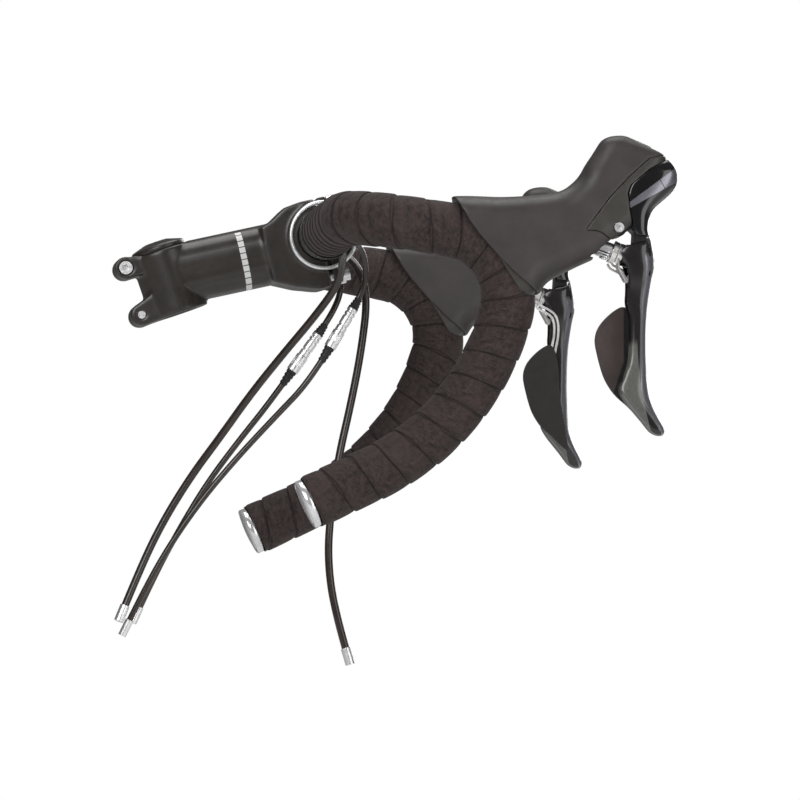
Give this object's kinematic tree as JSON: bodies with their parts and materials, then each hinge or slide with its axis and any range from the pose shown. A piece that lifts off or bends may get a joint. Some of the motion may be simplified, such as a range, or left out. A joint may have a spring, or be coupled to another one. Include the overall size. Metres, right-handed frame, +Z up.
{
  "type": "drop handlebar",
  "caption": "Road drop handlebar with wrapped grips, angled stem, brake and shift levers on rubber hoods, and free cable housings with inline adjusters.",
  "frame": {"origin": "middle of the stem's steerer clamp, on the steerer axis", "axes": "+X forward, +Y to the rider's left along the bar's width, +Z up as ridden; the steerer axis leans back 19 degrees from +Z"},
  "size_m": [0.3361, 0.4612, 0.3233],
  "materials": {
    "bar_alloy": "satin",
    "tape_foam": "matt, mottled foam",
    "finishing": "satin",
    "hood_rubber": "matt",
    "band_steel": "brushed",
    "bolt_steel": "bright",
    "pin_steel": "bright",
    "plate_steel": "pressed",
    "lever_composite": "matt",
    "carrier_alloy": "cast",
    "gloss_cover": "gloss with a metallic stripe",
    "works_plastic": "matt",
    "blade_alloy": "gloss black face, grey metallic rim",
    "paddle_plastic": "satin",
    "stem_alloy": "satin black",
    "plug": "silver white",
    "housing_jacket": "semi gloss",
    "ferrule_metal": "satin",
    "adjuster_metal": "bright",
    "boot_rubber": "matt"
  },
  "bodies": {
    "bar_and_stem": {"handlebar_tube": "bar_alloy", "stem_body": "stem_alloy", "stem_faceplate": "stem_alloy", "faceplate_bolts": "bolt_steel", "steerer_clamp_bolts": "bolt_steel", "top_cap": "stem_alloy", "top_cap_bolt": "bolt_steel", "end_plug_R": "plug", "end_plug_L": "plug", "lever_hood_R": "hood_rubber", "lever_hood_L": "hood_rubber", "clamp_band_R": "band_steel", "clamp_band_L": "band_steel", "band_bolt_R": "bolt_steel", "band_bolt_L": "bolt_steel", "lever_bracket_R": "lever_composite", "lever_bracket_L": "lever_composite", "pivot_pin_R": "pin_steel", "pivot_pin_L": "pin_steel", "bar_tape_R": "tape_foam", "bar_tape_L": "tape_foam", "finishing_tape_R": "finishing", "finishing_tape_L": "finishing", "rear_brake_housing": "housing_jacket", "front_brake_housing": "housing_jacket", "rear_shift_housing_upper": "housing_jacket", "rear_shift_housing_lower": "housing_jacket", "front_shift_housing_upper": "housing_jacket", "front_shift_housing_lower": "housing_jacket", "rear_brake_ferrule": "ferrule_metal", "front_brake_ferrule": "ferrule_metal", "rear_shift_ferrule": "ferrule_metal", "front_shift_ferrule": "ferrule_metal", "rear_shift_adjuster_body": "adjuster_metal", "rear_shift_adjuster_boots": "boot_rubber", "front_shift_adjuster_body": "adjuster_metal", "front_shift_adjuster_boots": "boot_rubber"},
    "lever_head_R": {"brake_carrier_R": "carrier_alloy", "name_plate_R": "gloss_cover", "shift_axle_R": "pin_steel"},
    "blade_R": {"brake_blade_R": "blade_alloy", "blade_link_R": "plate_steel"},
    "paddle_R": {"paddle_arm_R": "plate_steel", "paddle_tip_R": "paddle_plastic"},
    "drum_R": {"cable_drum_R": "works_plastic", "ratchet_plates_R": "plate_steel"},
    "lever_head_L": {"brake_carrier_L": "carrier_alloy", "name_plate_L": "gloss_cover", "shift_axle_L": "pin_steel"},
    "blade_L": {"brake_blade_L": "blade_alloy", "blade_link_L": "plate_steel"},
    "paddle_L": {"paddle_arm_L": "plate_steel", "paddle_tip_L": "paddle_plastic"},
    "drum_L": {"cable_drum_L": "works_plastic", "ratchet_plates_L": "plate_steel"},
    "rear_shift_barrel": {"rear_shift_adjuster_barrel": "adjuster_metal"},
    "front_shift_barrel": {"front_shift_adjuster_barrel": "adjuster_metal"}
  },
  "joints": [
    {"name": "brake_R", "type": "hinge", "parent": "bar_and_stem", "child": "lever_head_R", "pos_m": [0.2616, -0.21, 0.0209], "axis": [0, 1, 0], "range_deg": [0, 24], "stiffness_Nm_per_rad": 0.6, "springref_deg": -34.38},
    {"name": "blade_swing_R", "type": "hinge", "parent": "lever_head_R", "child": "blade_R", "pos_m": [0.273, -0.21, 0.0025], "axis": [0.9397, 0, -0.342], "range_deg": [0, 20], "stiffness_Nm_per_rad": 0.3, "springref_deg": -28.65},
    {"name": "paddle_swing_R", "type": "hinge", "parent": "blade_R", "child": "paddle_R", "pos_m": [0.273, -0.21, 0.0025], "axis": [0.9397, 0, -0.342], "range_deg": [0, 15], "stiffness_Nm_per_rad": 0.1, "springref_deg": -28.65},
    {"name": "drum_turn_R", "type": "hinge", "parent": "lever_head_R", "child": "drum_R", "pos_m": [0.273, -0.21, 0.0025], "axis": [0.9397, 0, -0.342], "range_deg": [0, 20]},
    {"name": "brake_L", "type": "hinge", "parent": "bar_and_stem", "child": "lever_head_L", "pos_m": [0.2616, 0.21, 0.0209], "axis": [0, 1, 0], "range_deg": [0, 24], "stiffness_Nm_per_rad": 0.6, "springref_deg": -34.38},
    {"name": "blade_swing_L", "type": "hinge", "parent": "lever_head_L", "child": "blade_L", "pos_m": [0.273, 0.21, 0.0025], "axis": [-0.9397, 0, 0.342], "range_deg": [0, 20], "stiffness_Nm_per_rad": 0.3, "springref_deg": -28.65},
    {"name": "paddle_swing_L", "type": "hinge", "parent": "blade_L", "child": "paddle_L", "pos_m": [0.273, 0.21, 0.0025], "axis": [-0.9397, 0, 0.342], "range_deg": [0, 15], "stiffness_Nm_per_rad": 0.1, "springref_deg": -28.65},
    {"name": "drum_turn_L", "type": "hinge", "parent": "lever_head_L", "child": "drum_L", "pos_m": [0.273, 0.21, 0.0025], "axis": [-0.9397, 0, 0.342], "range_deg": [0, 20]},
    {"name": "rear_shift_barrel_turn", "type": "hinge", "parent": "bar_and_stem", "child": "rear_shift_barrel", "pos_m": [0.10491, -0.02174, -0.03543], "axis": [-0.5132, 0.0071, -0.8582], "continuous": true},
    {"name": "front_shift_barrel_turn", "type": "hinge", "parent": "bar_and_stem", "child": "front_shift_barrel", "pos_m": [0.08542, 0.02456, -0.04829], "axis": [-0.578, 0.0136, -0.8159], "continuous": true}
  ],
  "couplings": [
    {"joint": "drum_turn_R", "follows": "blade_swing_R", "ratio": 1},
    {"joint": "drum_turn_L", "follows": "blade_swing_L", "ratio": 1}
  ]
}
